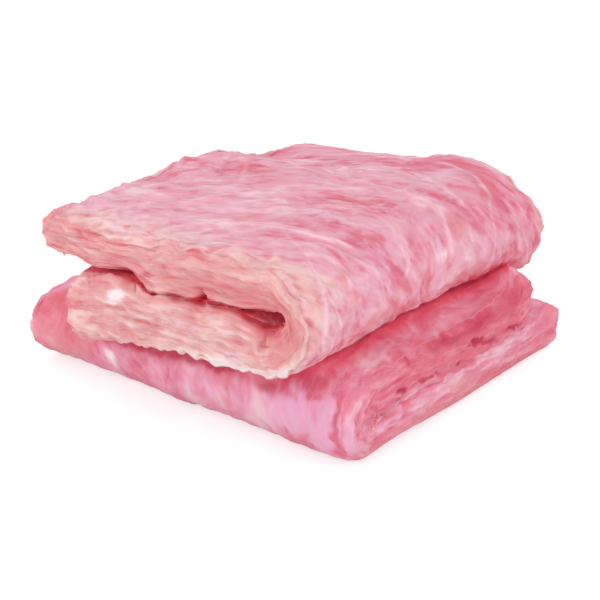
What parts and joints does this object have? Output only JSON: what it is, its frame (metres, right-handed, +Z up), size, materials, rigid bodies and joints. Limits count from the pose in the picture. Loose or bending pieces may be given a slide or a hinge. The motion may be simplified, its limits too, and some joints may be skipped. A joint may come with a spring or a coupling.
{
  "type": "stack of two folded glass wool batts",
  "caption": "Two pink unfaced glass wool insulation batts, each folded in half and laid crosswise, one on the other.",
  "frame": {"origin": "middle of the stack's footprint, on the surface it stands on", "axes": "+Z up; the lower batt's fold faces -Y, the upper batt's fold faces +X"},
  "size_m": [0.4102, 0.4158, 0.1991],
  "materials": {
    "glass_wool": "matte, soft and fibrous"
  },
  "bodies": {
    "root": {"lower_batt": "glass_wool", "upper_batt": "glass_wool"}
  },
  "joints": []
}
